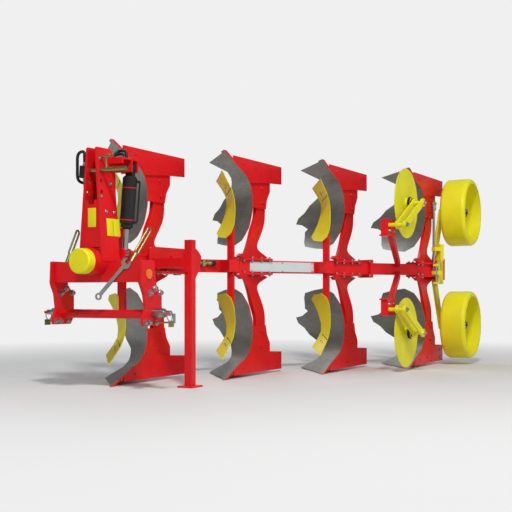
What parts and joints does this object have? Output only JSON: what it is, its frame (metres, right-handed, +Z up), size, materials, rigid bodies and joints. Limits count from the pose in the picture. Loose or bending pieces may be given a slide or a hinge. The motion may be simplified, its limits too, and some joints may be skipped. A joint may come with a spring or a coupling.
{
  "type": "mounted reversible mouldboard plough",
  "caption": "Tractor-mounted reversible plough: a turning beam carries mirrored mouldboard bodies, skimmers, disc coulters and depth wheels behind a three-point headstock.",
  "frame": {"origin": "middle of the plough's footprint, on the floor that its share points and stand rest on", "axes": "+X is the direction of travel, +Y is to the plough's left, +Z is up"},
  "size_m": [4.273, 2.491, 1.755],
  "materials": {
    "red_paint": "satin red enamel, scuffed at edges",
    "yellow_paint": "satin yellow enamel",
    "bare_steel": "bare hardened steel, scoured by soil",
    "bright_steel": "turned bright steel",
    "olive_zinc": "olive chromated zinc",
    "black_paint": "gloss black enamel",
    "pale_plate": "pale blank plate",
    "reflector_orange": "ribbed amber reflector"
  },
  "bodies": {
    "headstock": {"side_plates": "red_paint", "lower_bar": "red_paint", "turnover_housing": "red_paint", "crossbeam": "red_paint", "shaft_end_cap": "yellow_paint", "tower_plates": "red_paint", "tower_front_plate": "red_paint", "top_link_pin": "olive_zinc", "lower_link_pins": "bright_steel", "link_pin_clips": "olive_zinc", "cylinder_bracket": "red_paint", "cylinder_pin": "bright_steel", "tilt_spindles": "olive_zinc", "side_reflectors": "reflector_orange", "plough_spanner": "bright_steel", "headstock_strut": "red_paint"},
    "turnover_barrel": {"turnover_cylinder_barrel": "black_paint"},
    "turnover_rod": {"turnover_cylinder_rod": "bright_steel"},
    "plough_frame": {"shares": "bare_steel", "share_points": "bare_steel", "mouldboards_lower": "bare_steel", "mouldboards_upper": "bare_steel", "tail_strips": "red_paint", "landsides": "red_paint", "frogs": "red_paint", "legs": "red_paint", "board_stays": "red_paint", "main_beam": "red_paint", "leg_flanges": "red_paint", "turnover_shaft": "red_paint", "crank_neck": "red_paint", "swivel_flange": "red_paint", "crank_cheeks": "red_paint", "swivel_decks": "red_paint", "swivel_pivot": "bright_steel", "swivel_webs": "red_paint", "swivel_cover": "red_paint", "cover_spacers": "red_paint", "stand_sleeve": "red_paint", "stand_arm": "red_paint", "skimmer_shares": "yellow_paint", "skimmer_boards": "yellow_paint", "skimmer_stalks": "red_paint", "skimmer_holders": "red_paint", "disc_arms": "yellow_paint", "disc_heads": "red_paint", "disc_shanks": "red_paint", "name_plate": "pale_plate", "beam_end_plate": "red_paint", "wheel_carrier": "yellow_paint", "wheel_arms": "yellow_paint", "wheel_spindles": "bright_steel", "beam_joint_plates": "red_paint", "width_spindle": "olive_zinc"},
    "stand": {"stand": "red_paint"},
    "disc_coulter_lower": {"disc_coulter_lower": "yellow_paint"},
    "disc_coulter_upper": {"disc_coulter_upper": "yellow_paint"},
    "depth_wheel_lower": {"depth_wheel_lower": "yellow_paint"},
    "depth_wheel_upper": {"depth_wheel_upper": "yellow_paint"}
  },
  "joints": [
    {"name": "turnover", "type": "hinge", "parent": "headstock", "child": "plough_frame", "pos_m": [1.81449, -0.3305, 0.8775], "axis": [1, 0, 0], "range_deg": [0, 180]},
    {"name": "cylinder_swing", "type": "hinge", "parent": "headstock", "child": "turnover_barrel", "pos_m": [1.73449, -0.1905, 1.53], "axis": [1, 0, 0], "range_deg": [-16.8, 0]},
    {"name": "cylinder_stroke", "type": "slide", "parent": "turnover_barrel", "child": "turnover_rod", "axis": [0, 0.0843, 0.9964], "range_m": [-0.161, 0.035]},
    {"name": "stand_slide", "type": "slide", "parent": "plough_frame", "child": "stand", "axis": [0, 0, 1], "range_m": [0, 0.4]},
    {"name": "disc_lower_spin", "type": "hinge", "parent": "plough_frame", "child": "disc_coulter_lower", "pos_m": [-0.65551, 0.9805, 0.33], "axis": [0, 1, 0], "continuous": true},
    {"name": "disc_upper_spin", "type": "hinge", "parent": "plough_frame", "child": "disc_coulter_upper", "pos_m": [-0.65551, 0.9805, 1.425], "axis": [0, 1, 0], "continuous": true},
    {"name": "wheel_lower_spin", "type": "hinge", "parent": "plough_frame", "child": "depth_wheel_lower", "pos_m": [-1.78051, 1.128, 0.368], "axis": [0, 1, 0], "continuous": true},
    {"name": "wheel_upper_spin", "type": "hinge", "parent": "plough_frame", "child": "depth_wheel_upper", "pos_m": [-1.78051, 1.128, 1.419], "axis": [0, 1, 0], "continuous": true}
  ]
}
